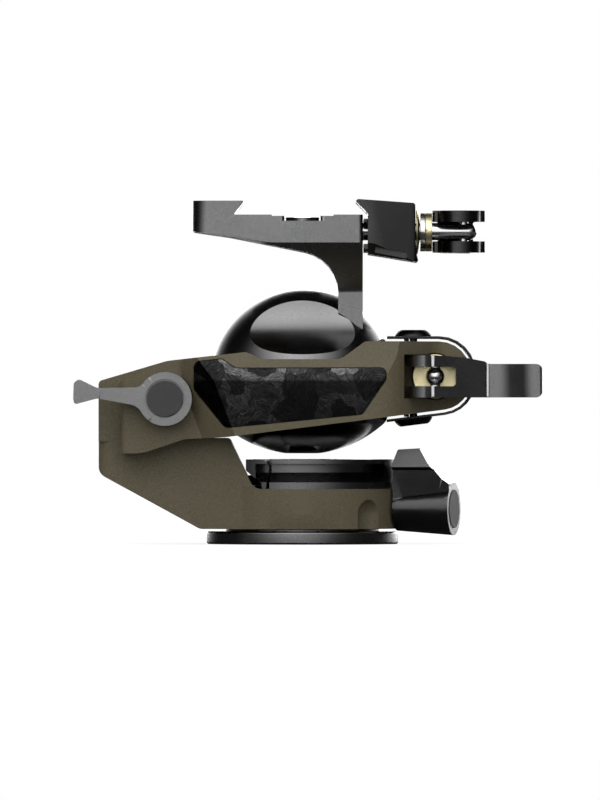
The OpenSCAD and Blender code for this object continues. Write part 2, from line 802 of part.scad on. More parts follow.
module plate_side() {
    side([[-plate_left, deck_z + jaw_h, jaw_lip], [plate_root_x + dovetail_in, deck_z + jaw_h, edge_round],
        [plate_root_x + dovetail_in, deck_z + jaw_h - jaw_lip, root_round],
        [plate_root_x, deck_z, root_round], [-pad_half, deck_z, 0], [-pad_half, deck_z - pad_step, 0],
        [pad_half, deck_z - pad_step, 0], [pad_half, deck_z, 0], [neck_out, deck_z, edge_round],
        [neck_out, deck_z - plate_t, 0], [plate_bend_x, deck_z - plate_t, bend_round],
        [-plate_left, deck_z - plate_left_t, 2 * edge_round]], -clamp_half, clamp_half);
}
module neck_side() {
    side([[-plate_left + plate_corner, deck_z - plate_left_t - keel_left_drop, 0],
        [neck_out - neck_t, deck_z - plate_t - keel_drop, neck_arc], [neck_out - neck_t, neck_foot_z, 0],
        [neck_out, neck_foot_z, 0], [neck_out, deck_z - plate_t + over, 0],
        [-plate_left + plate_corner, deck_z - plate_left_t + over / 2, 0]], -neck_top_half, neck_top_half);
}
module guide_places() {
    for (s = [-1, 1]) translate([0, s * pin_guide_y, clamp_stud_z]) children();
}
module clamp_neck() {
    color(black) difference() {
        union() {
            intersection() {
                plate_side();
                plan([[-plate_left, -clamp_half, plate_corner], [neck_out, -clamp_half, neck_corner],
                    [neck_out, clamp_half, neck_corner], [-plate_left, clamp_half, plate_corner]],
                    ball_z, deck_z + jaw_h + over);
            }
            intersection() {
                neck_side();
                front([[-neck_top_half, deck_z - pad_step, 0], [-neck_top_half, deck_z - plate_t, 0],
                    [-neck_half, neck_flare_z, neck_round], [-neck_half, neck_foot_z, 0],
                    [neck_half, neck_foot_z, 0], [neck_half, neck_flare_z, neck_round],
                    [neck_top_half, deck_z - plate_t, 0], [neck_top_half, deck_z - pad_step, 0]],
                    -plate_left, neck_out);
            }
        }
        ball_place() sphere(r = ball_r + seat);
        for (s = [0, 1]) mirror([0, s, 0])
            plan([[-channel_half - 2 * channel_flare, -clamp_half - over, 0],
                [channel_half + 2 * channel_flare, -clamp_half - over, 0],
                [channel_half + 2 * channel_flare, -clamp_half, 0],
                [channel_half, -clamp_half, channel_flare],
                [channel_half, over, 0], [-channel_half, over, 0],
                [-channel_half, -clamp_half, channel_flare],
                [-channel_half - 2 * channel_flare, -clamp_half, 0]], deck_z - channel_d, deck_z + over);
        bar(level_r + seat, deck_z - channel_d - level_deep, deck_z + over);
        translate([0, 0, clamp_stud_z]) bar_x(stud_r + seat, neck_out - stud_in - over, neck_out + over);
        guide_places() {
            bar_x(pin_guide_r + seat, neck_out - pin_guide_in - over / 2, neck_out + over);
            bar_x(spring_r + run, neck_out - spring_in, neck_out + over);
        }
        ball_place() neck_screw_places() bar(neck_screw_r + seat, 0, neck_screw_top);
    }
}
module bubble_ring() {
    color([0.25, 0.25, 0.26]) difference() {
        bar(level_r, deck_z - channel_d - level_deep, deck_z - level_low);
        bar(level_glass_r + seat, deck_z - channel_d - level_deep + 0.4 * level_dome, deck_z + over);
    }
}
module bubble_level() {
    color([0.75, 0.85, 0.35]) intersection() {
        bar(level_glass_r, deck_z - channel_d - level_deep + 0.4 * level_dome, deck_z);
        translate([0, 0, deck_z - level_low / 2 - 3 * level_r]) sphere(r = 3 * level_r);
    }
}
module guide_pins() {
    color(steel) guide_places() bar_x(pin_guide_r, neck_out - pin_guide_in, jaw_x + pin_guide_out);
}
module jaw_springs() {
    color(steel) guide_places() difference() {
        bar_x(spring_r, neck_out - spring_in + run, jaw_x + spring_in - gap);
        bar_x(spring_r - spring_t, 0, jaw_x + spring_in);
    }
}

// Moving jaw: slides on the guide pins, drawn in by the cam lever on the stud
jaw_out = 34.3;
jaw_half = clamp_half;
jaw_top_out = 1.2;
jaw_rise = 0.5;
jaw_top = deck_z + jaw_h + jaw_rise;
jaw_low_in = 11.8;
jaw_low_out = 14.3;
jaw_kick = 0.7;
jaw_kick_up = 3;
jaw_hook = 3.7;
jaw_tip_x = jaw_x - jaw_hook;
jaw_nose = 0.6;
jaw_edge = 0.8;
jaw_corner = 2.6;
jaw_bevel_x = 22;
jaw_bevel = 3.3;
rib_t = 1.2;
rib_in = 2;
low_rib_down = 8.8;
low_rib_h = 2.4;
low_rib_z1 = deck_z - low_rib_down;
low_rib_z0 = low_rib_z1 - low_rib_h;
top_rib_down = 1.2;
top_rib_h = 1;
top_rib_z1 = deck_z - top_rib_down;
top_rib_z0 = top_rib_z1 - top_rib_h;
foot_cut = 3.5;
foot_turn = 10.6;
foot_x = 2.5;
foot_len = 9.8;
foot_slot_h = 1.8;
foot_slot_low = 0.8;
module moving_jaw() {
    color(black) difference() {
        union() {
            intersection() {
                side([[jaw_x, deck_z + jaw_lip, root_round], [jaw_tip_x, jaw_top - jaw_nose, root_round],
                    [jaw_tip_x + jaw_kick, jaw_top, edge_round],
                    [jaw_out - edge_round, jaw_top - jaw_top_out, jaw_edge],
                    [jaw_out, deck_z - jaw_low_out + jaw_kick_up, 0],
                    [jaw_out + jaw_kick, deck_z - jaw_low_out, jaw_lip],
                    [jaw_x, deck_z - jaw_low_in, edge_round]], -jaw_half, jaw_half);
                plan([[jaw_tip_x - over, -jaw_half, 0], [jaw_bevel_x, -jaw_half, 0],
                    [jaw_out + over, -jaw_half + jaw_bevel, jaw_corner],
                    [jaw_out + over, jaw_half - jaw_bevel, jaw_corner],
                    [jaw_bevel_x, jaw_half, 0], [jaw_tip_x - over, jaw_half, 0]],
                    ball_z, jaw_top + over);
            }
            // Ribs that keep the jaw square to the plate
            block([jaw_x - rib_t, -jaw_half + rib_in, low_rib_z0],
                  [jaw_x + over, jaw_half - rib_in, low_rib_z1]);
            block([jaw_x - rib_t, -jaw_half + rib_in, top_rib_z0],
                  [jaw_x + over, jaw_half - rib_in, top_rib_z1]);
        }
        translate([0, 0, clamp_stud_z]) bar_x(stud_r + run, 0, jaw_out + 2 * over);
        guide_places() {
            bar_x(pin_guide_r + run, 0, jaw_x + pin_guide_out + gap);
            bar_x(spring_r + run, 0, jaw_x + spring_in);
        }
        // Bevelled foot, with a slot sunk in it
        for (s = [0, 1]) mirror([0, s, 0]) translate([jaw_x, -jaw_half, deck_z - plate_t])
            rotate([0, foot_turn, 0]) {
            front([[0, 0, 0], [foot_cut, -foot_cut * 1.02, 0], [foot_cut, -2 * foot_cut, 0],
                [-over, -2 * foot_cut, 0], [-over, 0, 0]], -5 * over, jaw_out);
            block([foot_x, 0, -foot_slot_h - foot_slot_low], [foot_x + foot_len, foot_cut, -foot_slot_low]);
        }
    }
}

// Clamp stud and its washers, in line along the jaw's travel
dish_t = 0.9;
steel_washer_t = 1.6;
steel_washer_r = 6;
cam_washer_t = 2;
dish_crown = 0.2;
dish_x = jaw_out + 2 * run;
steel_x = dish_x + dish_t + gap;
cam_x = steel_x + steel_washer_t;
clamp_pin_x = cam_x + cam_washer_t + cam_r + gap / 3;
stud_tail = 4.1;
module washer(outer, t, hole) {
    difference() {
        bar_x(outer, 0, t);
        bar_x(hole, -over, t + over);
    }
}
module dish_washer() {
    // A dished washer, its rim towards the body and its crown towards the cam
    rotate([0, 90, 0]) rotate_extrude() polygon([[stud_r + run, dish_t * 0.3], [dish_r * 0.8, dish_t * 0.15],
        [dish_r, 0], [dish_r, dish_t * 0.5], [dish_r * 0.82, dish_t * 0.85],
        [stud_r + run, dish_t + dish_crown]]);
}
module stud_place() {
    translate([0, 0, clamp_stud_z]) children();
}
module jaw_dish_washer() {
    color(brass) stud_place() translate([dish_x, 0, 0]) dish_washer();
}
module jaw_steel_washer() {
    color(steel) stud_place() translate([steel_x, 0, 0]) washer(steel_washer_r, steel_washer_t, stud_r + run);
}
module jaw_cam_washer() {
    color(brass) stud_place() translate([cam_x, 0, 0]) washer(steel_washer_r, cam_washer_t, stud_r + run);
}
module clamp_stud() {
    color(steel) stud_place() difference() {
        union() {
            bar_x(stud_r, neck_out - stud_in, clamp_pin_x + stud_tail - stud_r);
            translate([clamp_pin_x + stud_tail - stud_r, 0, 0]) sphere(r = stud_r);
        }
        translate([clamp_pin_x, 0, 0]) bar(pin_r + seat, -fork_h, fork_h);
    }
}

// Cam lever, used twice: a fork with an eccentric head, roof-shaped outside, and a flicked-up tip.
// Its pin is at the origin, the handle points along +X, and the outer side faces -Y.
slot_end = 6.2;
slot_round = 1;
tip_round = 2;
waist_round = 3;
cam_off_share = 0.053;
nose_share = 0.32;
nose_in_share = 0.138;
nose_r_share = 0.7;
tip_half_share = 0.298;
lever_back_share = [[1, -0.012, 0.03], [0.9, 0.0, 0.12], [0.79, 0.09, 0.12], [0.66, 0.185, 0.12],
    [0.5, 0.205, 0.2], [0.25, 0.232, 0.1], [0.1, 0.25, 0]];
lever_face_share = [[-0.1, 0.1, 0], [-0.254, -0.031, 0.01], [-0.037, -0.204, 0.01],
    [0.47, 0.045, 0.01], [0.497, 0.097, 0.02], [0.65, 0.086, 0.3],
    [0.87, -0.079, 0.3], [1, -0.086, 0.03]];
module cam_lever() {
    color(black) difference() {
        intersection() {
            union() {
                intersection() {
                    translate([cam_r * cam_off_share, cam_r * cam_off_share, 0])
                        bar(cam_r * (1 - cam_off_share), -fork_h, fork_h);
                    block([-nose_share * cam_r, 0, -fork_h], [cam_r, cam_r, fork_h]);
                }
                translate([-nose_share * cam_r * 0.7, cam_r * nose_in_share, 0])
                    bar(nose_r_share * cam_r, -fork_h, fork_h);
                plan([for (p = concat(lever_back_share, lever_face_share)) p * lever_len], -fork_h, fork_h);
            }
            side([[-2 * cam_r, -fork_h / 2, 0], [lever_len, -fork_h / 2, tip_round],
                [lever_len, tip_half_share * fork_h, tip_round], [lever_len / 2, tip_half_share * fork_h, 0],
                [lever_len * 0.46, fork_h * 0.36, 0], [lever_len * 0.27, fork_h * 0.45, waist_round],
                [0, fork_h / 2, waist_round], [-2 * cam_r, fork_h / 2, 0]], -2 * cam_r, 2 * cam_r);
        }
        side([[-2 * cam_r, -fork_slot / 2, 0], [slot_end, -fork_slot / 2, slot_round],
            [slot_end, fork_slot / 2, slot_round], [-2 * cam_r, fork_slot / 2, 0]], -3 * cam_r, 3 * cam_r);
        bar(pin_r + run, -fork_h, fork_h);
    }
}
module lever_pin() {
    color(steel) bar(pin_r, -fork_h * 0.48, fork_h * 0.48);
}
module clamp_lever() {
    stud_place() translate([clamp_pin_x, 0, 0]) rotate(90) cam_lever();
}
module clamp_lever_pin() {
    stud_place() translate([clamp_pin_x, 0, 0]) lever_pin();
}

// Main lock of the ring: a stud across the tongue, a nut on the far side, the cam lever on the near side
ring_seat_y = tongue_half - dish_seat;
ring_cam_r = 6.7;
ring_nut_r = 6.2;
ring_nut_t = 4;
ring_cam_y = ring_seat_y + dish_t + gap;
ring_pin_y = ring_cam_y + cam_washer_t + cam_r + gap / 3;
module ring_stud_place() {
    translate([stud_x, 0, stud_z]) children();
}
module ring_stud() {
    color(steel) ring_stud_place() difference() {
        union() {
            bar_y(stud_r, -ring_pin_y - stud_tail + stud_r, ring_seat_y + ring_nut_t - over);
            translate([0, -ring_pin_y - stud_tail + stud_r, 0]) sphere(r = stud_r);
        }
        translate([0, -ring_pin_y, 0]) bar(pin_r + seat, -fork_h, fork_h);
    }
}
module ring_stud_nut() {
    color(steel) ring_stud_place() difference() {
        bar_y(ring_nut_r, ring_seat_y, ring_seat_y + ring_nut_t);
        bar_y(stud_r + seat, 0, ring_seat_y + ring_nut_t - over + seat);
        translate([0, ring_seat_y + ring_nut_t, 0]) rotate([90, 0, 0])
            cylinder(r = ring_nut_r * 0.45, h = over, $fn = 6, center = true);
    }
}
module ring_dish_washer() {
    color(brass) ring_stud_place() translate([0, -ring_seat_y, 0]) rotate(-90) dish_washer();
}
module ring_cam_washer() {
    color(brass) ring_stud_place() translate([0, -ring_cam_y, 0]) rotate(-90)
        washer(ring_cam_r, cam_washer_t, stud_r + run);
}
module ring_lever() {
    ring_stud_place() translate([0, -ring_pin_y, 0]) cam_lever();
}
module ring_lever_pin() {
    ring_stud_place() translate([0, -ring_pin_y, 0]) lever_pin();
}

// Friction lever: its bolt squeezes the cheeks together across the rear slot
drag_washer_t = 0.8;
drag_hub_t = 5.4;
drag_arm_t = 3.6;
drag_cap_r = 5.45;
drag_cap_gap = 0.45;
drag_cap_t = 1.6;
drag_nut_r = 7;
drag_nut_t = 4;
drag_y = cheek_half + drag_washer_t + run;
// The lever's arm, as shares of its reach from the hub
drag_arm_share = [[-0.167, 0.243, 0], [-0.279, 0.127, 0.11], [-0.736, 0.12, 0.11], [-0.94, 0.22, 0.05],
    [-0.995, 0.175, 0.04], [-1, 0, 0.1], [-0.985, -0.06, 0.045], [-0.736, 0.007, 0.15],
    [-0.312, -0.072, 0.18], [-0.178, -0.236, 0], [0, 0, 0]];
module drag_place() {
    translate([drag_x, 0, drag_z]) children();
}
module drag_bolt() {
    color(steel) drag_place()
        bar_y(drag_bolt_r, -drag_y - drag_hub_t + drag_cap_t + run, cheek_half + drag_nut_t - over);
}
module drag_nut() {
    color(black) drag_place() difference() {
        bar_y(drag_nut_r, cheek_half, cheek_half + drag_nut_t);
        bar_y(drag_bolt_r + run, 0, cheek_half + drag_nut_t - over + gap);
    }
}
module drag_washer() {
    color(steel) drag_place() difference() {
        bar_y(drag_nut_r, -cheek_half - drag_washer_t, -cheek_half);
        bar_y(drag_bolt_r + run, -ring_half, 0);
    }
}
module drag_lever() {
    color([0.45, 0.45, 0.46]) drag_place() difference() {
        union() {
            bar_y(hub_r, -drag_y - drag_hub_t, -drag_y);
            side([for (p = drag_arm_share) [p.x * drag_reach, p.y * drag_reach, p[2] * drag_reach]],
                -drag_y - drag_hub_t, -drag_y - drag_hub_t + drag_arm_t);
        }
        bar_y(drag_bolt_r + seat, -ring_half * 2, 0);
        bar_y(drag_cap_r + drag_cap_gap, -drag_y - drag_hub_t - over, -drag_y - drag_hub_t + drag_cap_t);
    }
}
module drag_cap() {
    color([0.27, 0.27, 0.28]) drag_place()
        bar_y(drag_cap_r, -drag_y - drag_hub_t - seat, -drag_y - drag_hub_t + drag_cap_t);
}

// Spring strap round the tongue, over the slit, on button screws and pegs
strap_t = 0.8;
strap_gap = 0.8;
strap_half = 12.5;
strap_x0 = 25.5;
button_r = 5.75;
button_h = 1.9;
module split_strap() {
    out = strap_gap + strap_t;
    color(black) difference() {
        side([[strap_x0, tongue_top + out, 0], [tongue_tip + out, tongue_top + out, tongue_corner + out],
            [tongue_tip + out, under(tongue_tip + out) - out, tongue_low_corner + out],
            [strap_x0, under(strap_x0) - out, 0], [strap_x0, under(strap_x0) - strap_gap, 0],
            [tongue_tip + strap_gap, under(tongue_tip + strap_gap) - strap_gap,
             tongue_low_corner + strap_gap],
            [tongue_tip + strap_gap, tongue_top + strap_gap, tongue_corner + strap_gap],
            [strap_x0, tongue_top + strap_gap, 0]], -strap_half, strap_half);
        for (s = [-1, 1]) translate([strap_screw_x, s * strap_screw_y, 0]) {
            bar(strap_screw_r + seat, tongue_top, tongue_top + ball_r);
            bar(strap_screw_r + seat, under(strap_screw_x) - ball_r, under(strap_screw_x));
        }
    }
}
module button_head() {
    difference() {
        rotate_extrude() polygon([[0, 0], [button_r, 0], [button_r * 0.97, button_h * 0.25],
            [button_r * 0.84, button_h * 0.75], [button_r * 0.72, button_h], [0, button_h]]);
        translate([0, 0, button_h]) cylinder(r = button_r * 0.42, h = button_h, $fn = 6, center = true);
    }
}
module strap_screws() {
    out = strap_gap + strap_t;
    color(black) for (s = [-1, 1]) translate([strap_screw_x, s * strap_screw_y, 0]) {
        bar(strap_screw_r, tongue_top - strap_screw_depth + gap, tongue_top + out + seat);
        translate([0, 0, tongue_top + out]) button_head();
        bar(strap_screw_r, under(strap_screw_x) - out - seat, under(strap_screw_x) + strap_screw_depth - gap);
        translate([0, 0, under(strap_screw_x) - out])
            rotate([0, 180 - atan(ring_slope_share), 0]) button_head();
    }
}
module strap_spacers() {
    color(steel) for (s = [-1, 1]) translate([strap_peg_x, s * strap_screw_y, 0]) {
        bar(strap_peg_r, tongue_top - peg_depth + seat, tongue_top + strap_gap);
        bar(strap_peg_r, under(strap_peg_x + strap_peg_r) - strap_gap,
            under(strap_peg_x) + peg_depth - seat);
    }
}

base_disc();
base_screws();
pan_spindle();
lower_thrust_washer();
upper_thrust_washer();
spindle_nut();
pan_bushing();
base_arm();
rear_column();
socket_ring();
near_inlay();
far_inlay();
pan_housing();
housing_screws();
brake_shoe();
pan_lock_screw();
pan_lock_lever();
pan_lock_cap();
socket_liner();
liner_retainer();
ball();
ball_cap();
ball_bolt();
clamp_neck();
neck_screws();
bubble_level();
bubble_ring();
guide_pins();
jaw_springs();
moving_jaw();
clamp_stud();
jaw_dish_washer();
jaw_steel_washer();
jaw_cam_washer();
clamp_lever();
clamp_lever_pin();
ring_stud();
ring_stud_nut();
ring_dish_washer();
ring_cam_washer();
ring_lever();
ring_lever_pin();
drag_bolt();
drag_nut();
drag_washer();
drag_lever();
drag_cap();
split_strap();
strap_screws();
strap_spacers();
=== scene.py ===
import math

import bmesh
import bpy
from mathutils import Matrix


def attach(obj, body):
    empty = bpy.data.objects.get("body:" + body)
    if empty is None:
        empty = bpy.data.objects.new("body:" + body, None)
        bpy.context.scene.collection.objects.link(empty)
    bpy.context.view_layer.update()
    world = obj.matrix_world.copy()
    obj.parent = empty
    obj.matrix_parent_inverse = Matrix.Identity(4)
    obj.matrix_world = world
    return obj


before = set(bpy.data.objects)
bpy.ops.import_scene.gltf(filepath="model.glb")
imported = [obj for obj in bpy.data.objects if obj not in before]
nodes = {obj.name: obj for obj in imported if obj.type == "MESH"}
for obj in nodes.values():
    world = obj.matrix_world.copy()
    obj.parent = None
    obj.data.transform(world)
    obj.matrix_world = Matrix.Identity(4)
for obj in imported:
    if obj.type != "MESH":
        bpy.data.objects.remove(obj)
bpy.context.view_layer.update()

# Studio
# The camera sees a white sweep. Metal mirrors something else: a broad soft panel behind the camera, a
# bright wall behind the object, and dark sides, roof and floor, which show the form of black metal.
SENSOR, LENS, CAMERA_AT = 36, 742.6, (-0.00076, -5, 0.0436)
scene = bpy.context.scene
scene.view_settings.view_transform = "Standard"

camera_data = bpy.data.cameras.new("camera")
camera_data.sensor_fit = "VERTICAL"
camera_data.sensor_height = SENSOR
camera_data.lens = LENS
camera = bpy.data.objects.new("camera", camera_data)
camera.location = CAMERA_AT
camera.rotation_euler = (math.radians(90), 0, 0)
scene.collection.objects.link(camera)
scene.camera = camera


def add(tree, kind, **values):
    """A shader node, with its settings by name and its inputs by socket name or number."""
    node = tree.nodes.new(kind)
    for name, value in values.pop("inputs", {}).items():
        node.inputs[name].default_value = value
    for name, value in values.items():
        setattr(node, name, value)
    return node


def wire(tree, source, target, out=0, into=0):
    tree.links.new(source.outputs[out], target.inputs[into])


def span(tree, source, low, high, to_low=0.0, to_high=1.0, out=0):
    """A soft step from one value to another."""
    node = add(tree, "ShaderNodeMapRange", interpolation_type="SMOOTHSTEP")
    for name, value in (("From Min", low), ("From Max", high), ("To Min", to_low), ("To Max", to_high)):
        node.inputs[name].default_value = value
    wire(tree, source, node, out, "Value")
    return node


def maths(tree, operation, first, second, out=0, second_out=0):
    node = add(tree, "ShaderNodeMath", operation=operation)
    wire(tree, first, node, out, 0)
    if isinstance(second, (int, float)):
        node.inputs[1].default_value = second
    else:
        wire(tree, second, node, second_out, 1)
    return node


world = bpy.data.worlds.new("studio")
scene.world = world
world.use_nodes = True
world.cycles.sampling_method = "NONE"
sky = world.node_tree
sky.nodes.clear()
PANEL_TURN, PANEL_PEAK, DARK, FILL = math.radians(10), 2.25, 0.008, 0.35
REAR_WALL, WALL_STARTS, WALL_FULL, WALL_FALLOFF = 5.0, 0.309, 0.966, 4.6
# The soft panel's light by the angle above the camera's line, in degrees
PANEL_BY_ANGLE = ((-100, 0.01), (-60, 0.08), (-30, 0.24), (0, 0.57), (18, 0.75), (43, 1.0), (57, 0.82),
                  (69, 0.39), (82, 0.10), (97, 0.014), (120, 0.004))
direction = add(sky, "ShaderNodeTexCoord")
turned = add(sky, "ShaderNodeMapping", vector_type="VECTOR", inputs={"Rotation": (0, 0, PANEL_TURN)})
wire(sky, direction, turned, "Generated", 0)
parts = add(sky, "ShaderNodeSeparateXYZ")
wire(sky, turned, parts)
sideways = maths(sky, "MULTIPLY", parts, parts, "X", "X")
whole = add(sky, "ShaderNodeValue")
whole.outputs[0].default_value = 1
ahead = maths(sky, "SUBTRACT", whole, sideways)
across = maths(sky, "POWER", ahead, 2)
towards = maths(sky, "MULTIPLY", parts, -1, "Y")
angle = maths(sky, "ARCTAN2", parts, towards, "Z")
upward = add(sky, "ShaderNodeMapRange")
for name, value in (("From Min", -math.pi), ("From Max", math.pi), ("To Min", 0), ("To Max", 1)):
    upward.inputs[name].default_value = value
wire(sky, angle, upward, 0, "Value")
falloff = add(sky, "ShaderNodeValToRGB")
falloff.color_ramp.interpolation = "B_SPLINE"
stops = falloff.color_ramp.elements
stops[1].position = 1
stops[1].color = (0, 0, 0, 1)
for degrees, share in PANEL_BY_ANGLE:
    stops.new((degrees + 180) / 360).color = (share, share, share, 1)
wire(sky, upward, falloff, 0, "Fac")
panel = maths(sky, "MULTIPLY", maths(sky, "MULTIPLY", falloff, across), PANEL_PEAK)
behind = add(sky, "ShaderNodeMapRange")
for name, value in (("From Min", WALL_STARTS), ("From Max", WALL_FULL), ("To Min", 0), ("To Max", 1)):
    behind.inputs[name].default_value = value
wire(sky, parts, behind, "Y", "Value")
wall = maths(sky, "MULTIPLY", maths(sky, "POWER", behind, WALL_FALLOFF), REAR_WALL)
# Matt surfaces get an even fill besides, and only the camera sees white
path = add(sky, "ShaderNodeLightPath")
fill = maths(sky, "MULTIPLY", path, FILL, "Is Diffuse Ray")
level = maths(sky, "ADD", maths(sky, "ADD", maths(sky, "ADD", panel, wall), fill), DARK)
studio_light = add(sky, "ShaderNodeBackground")
wire(sky, level, studio_light, 0, "Color")
white = add(sky, "ShaderNodeBackground", inputs={"Color": (1, 1, 1, 1), "Strength": 1})
mix = add(sky, "ShaderNodeMixShader")
wire(sky, path, mix, "Is Camera Ray", 0)
wire(sky, studio_light, mix, 0, 1)
wire(sky, white, mix, 0, 2)
world_out = add(sky, "ShaderNodeOutputWorld")
wire(sky, mix, world_out)

# The paper glows for the camera alone, and is darker where metal mirrors it
FLOOR_HALF, PAPER, PAPER_IN_METAL, PAPER_GLOW = 3, 0.3, 0.05, 0.8
floor_mesh = bpy.data.meshes.new("floor")
floor_shape = bmesh.new()
bmesh.ops.create_grid(floor_shape, x_segments=1, y_segments=1, size=FLOOR_HALF)
floor_shape.to_mesh(floor_mesh)
floor_shape.free()
floor = bpy.data.objects.new("floor", floor_mesh)
scene.collection.objects.link(floor)
floor_paper = bpy.data.materials.new("floor_paper")
floor_paper.use_nodes = True
floor_paper.cycles.emission_sampling = "NONE"
paper = floor_paper.node_tree
paper.nodes.clear()
paper_matt = add(paper, "ShaderNodeBsdfDiffuse")
paper_glow = add(paper, "ShaderNodeEmission", inputs={"Color": (1, 1, 1, 1)})
paper_path = add(paper, "ShaderNodeLightPath")
wire(paper, maths(paper, "MULTIPLY", paper_path, PAPER_GLOW, "Is Camera Ray"), paper_glow, 0, "Strength")
paper_tone = add(paper, "ShaderNodeMapRange", inputs={"To Min": PAPER, "To Max": PAPER_IN_METAL})
wire(paper, paper_path, paper_tone, "Is Glossy Ray", "Value")
wire(paper, paper_tone, paper_matt, 0, "Color")
paper_sum = add(paper, "ShaderNodeAddShader")
paper_out = add(paper, "ShaderNodeOutputMaterial")
wire(paper, paper_matt, paper_sum, 0, 0)
wire(paper, paper_glow, paper_sum, 0, 1)
wire(paper, paper_sum, paper_out)
floor_mesh.materials.append(floor_paper)

# Pan base
# A turned aluminium disc, anodised black, that stands on the tripod. Four screws hold the steel pan
# spindle on it, and thin black washers carry the body.


def surface(name, colour, metallic, roughness, coat=0.0, specular=0.5):
    """A material with its principled shader, ready for its grain."""
    material = bpy.data.materials.new(name)
    material.use_nodes = True
    tree = material.node_tree
    shader = tree.nodes["Principled BSDF"]
    shader.inputs["Base Color"].default_value = (*colour, 1)
    shader.inputs["Metallic"].default_value = metallic
    shader.inputs["Roughness"].default_value = roughness
    shader.inputs["Coat Weight"].default_value = coat
    shader.inputs["Specular IOR Level"].default_value = specular
    return material, tree, shader


def noise_on(tree, scale, detail=2.0, stretch=(1, 1, 1)):
    """Noise that lies on the object, in cycles per metre."""
    coordinates = add(tree, "ShaderNodeTexCoord")
    squeeze = add(tree, "ShaderNodeMapping", inputs={"Scale": stretch})
    wire(tree, coordinates, squeeze, "Object", "Vector")
    noise = add(tree, "ShaderNodeTexNoise", inputs={"Scale": scale, "Detail": detail})
    wire(tree, squeeze, noise, 0, "Vector")
    return noise


def grain(tree, shader, scale, depth, detail=2.0, stretch=(1, 1, 1)):
    """Fine relief over the whole surface, in metres."""
    noise = noise_on(tree, scale, detail, stretch)
    bump = add(tree, "ShaderNodeBump", inputs={"Strength": 1, "Distance": depth})
    wire(tree, noise, bump, 0, "Height")
    wire(tree, bump, shader, 0, "Normal")
    return noise


# The noise between which values goes from the least gloss or tone to the most
PATCH_DETAIL, PATCH_BAND, TINT_BAND = 3, (0.35, 0.65), (0.3, 0.7)


def patchy(tree, shader, scale, low, high):
    """Slow change of gloss over the surface, between two roughnesses."""
    change = span(tree, noise_on(tree, scale, PATCH_DETAIL), *PATCH_BAND, low, high)
    wire(tree, change, shader, 0, "Roughness")


def tint(tree, shader, noise, colour, low, high):
    """The base colour, lighter and darker with a noise."""
    share = span(tree, noise, *TINT_BAND, low, high)
    mixed = add(tree, "ShaderNodeMix", data_type="RGBA", blend_type="MULTIPLY")
    mixed.inputs["Factor"].default_value = 1
    mixed.inputs["A"].default_value = (*colour, 1)
    wire(tree, share, mixed, 0, "B")
    wire(tree, mixed, shader, "Result", "Base Color")


def anodised(name, grey, low, high):
    """Anodised aluminium: a fine blasted grain, with cloudy changes of gloss and tone.

    The greys are set for this studio, whose dark sides the metal mirrors, so the black ones are lighter
    than real black.
    """
    colour = (grey, grey, grey * 1.015)
    material, tree, shader = surface(name, colour, 1.0, low)
    tint(tree, shader, grain(tree, shader, scale=5200, depth=0.000010), colour, 0.86, 1.14)
    patchy(tree, shader, scale=70, low=low, high=high)
    return material


def paint_shade(tree, shader, where):
    """Paints shade: darkens the base colour by a share that is worked out from the place on the piece."""
    colour = shader.inputs["Base Color"].links[0].from_socket
    mixed = add(tree, "ShaderNodeMix", data_type="RGBA", blend_type="MULTIPLY")
    mixed.inputs["Factor"].default_value = 1
    tree.links.new(colour, mixed.inputs["A"])
    wire(tree, where, mixed, 0, "B")
    wire(tree, mixed, shader, "Result", "Base Color")


def bright(name, colour, low, high):
    """Turned metal, with fine tool lines and a few duller patches."""
    material, tree, shader = surface(name, colour, 1.0, low)
    grain(tree, shader, scale=900, depth=0.000004, detail=3, stretch=(1, 1, 9))
    patchy(tree, shader, scale=260, low=low, high=high)
    return material


black_anodised = anodised("black_anodised", grey=0.24, low=0.22, high=0.29)
bright_steel = bright("bright_steel", (0.72, 0.72, 0.73), low=0.12, high=0.22)
bright_brass = bright("bright_brass", (0.95, 0.84, 0.5), low=0.25, high=0.36)


WELD_GAP, EDGE_FROM = 0.000002, math.radians(32)


def dress(names, material, edge=0.00015, segments=2):
    """Gives CAD nodes their finish and breaks their sharp edges."""
    for name in names:
        node = nodes[name]
        node.data.materials.clear()
        node.data.materials.append(material)
        weld = node.modifiers.new("weld", "WELD")
        weld.merge_threshold = WELD_GAP
        bevel = node.modifiers.new("edge", "BEVEL")
        bevel.width = edge
        bevel.segments = segments
        bevel.limit_method = "ANGLE"
        bevel.angle_limit = EDGE_FROM
        bevel.miter_outer = "MITER_ARC"
        bevel.use_clamp_overlap = True
        node.data.shade_smooth()
        shade = node.modifiers.new("shade", "WEIGHTED_NORMAL")
        shade.keep_sharp = True


dress(["base_disc"], black_anodised)
dress(["base_screws", "pan_spindle", "spindle_nut"], bright_steel)
dress(["lower_thrust_washer", "upper_thrust_washer"], black_anodised)

# Body
# One aluminium casting with a matt olive powder coat: arm, column and split socket ring. A plate of
# forged carbon is let into each side of the ring.
OLIVE = (0.118, 0.101, 0.061)
olive_coat, tree, shader = surface("olive_coat", OLIVE, metallic=0.0, roughness=0.55, specular=0.35)
tint(tree, shader, grain(tree, shader, scale=3800, depth=0.00004, detail=3), OLIVE, 0.75, 1.25)
patchy(tree, shader, scale=90, low=0.5, high=0.62)

